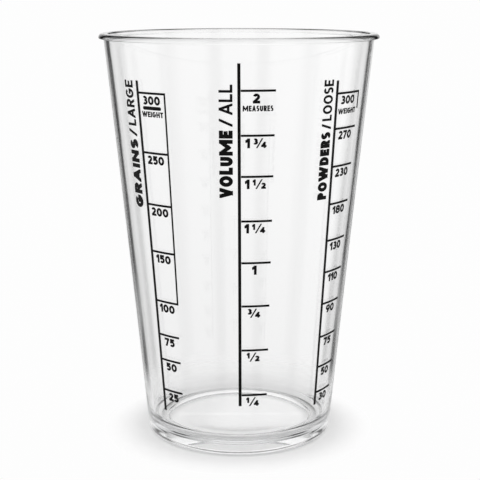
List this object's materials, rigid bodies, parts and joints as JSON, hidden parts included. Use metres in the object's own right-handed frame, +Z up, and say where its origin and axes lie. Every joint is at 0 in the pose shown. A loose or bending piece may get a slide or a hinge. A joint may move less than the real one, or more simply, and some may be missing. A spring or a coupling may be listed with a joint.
{
  "type": "measuring cup",
  "caption": "Clear moulded plastic measuring tumbler with an out-turned lip, a thick base and printed cup, sugar-weight and flour-weight scales on its wall.",
  "frame": {"origin": "on the cup's axis, on the plane that its foot ring stands on", "axes": "+Z up along the cup's axis; -Y is the front, where the cup scale is printed; +X is to the right seen from the front"},
  "size_m": [0.0952, 0.0952, 0.14],
  "materials": {
    "clear_plastic": "clear colourless polished moulding",
    "black_ink": "black screen-printed ink, satin"
  },
  "bodies": {
    "root": {"cup_body": "clear_plastic", "sugar_spine": "black_ink", "sugar_rail": "black_ink", "sugar_mark_300": "black_ink", "sugar_mark_250": "black_ink", "sugar_mark_200": "black_ink", "sugar_mark_150": "black_ink", "sugar_mark_100": "black_ink", "sugar_mark_75": "black_ink", "sugar_mark_50": "black_ink", "sugar_mark_25": "black_ink", "cups_spine": "black_ink", "cups_mark_2": "black_ink", "cups_mark_1_3_4": "black_ink", "cups_mark_1_1_2": "black_ink", "cups_mark_1_1_4": "black_ink", "cups_mark_1": "black_ink", "cups_mark_3_4": "black_ink", "cups_mark_1_2": "black_ink", "cups_mark_1_4": "black_ink", "flour_spine": "black_ink", "flour_rail": "black_ink", "flour_mark_300": "black_ink", "flour_mark_270": "black_ink", "flour_mark_230": "black_ink", "flour_mark_180": "black_ink", "flour_mark_130": "black_ink", "flour_mark_110": "black_ink", "flour_mark_90": "black_ink", "flour_mark_75": "black_ink", "flour_mark_50": "black_ink", "flour_mark_30": "black_ink"}
  },
  "joints": []
}
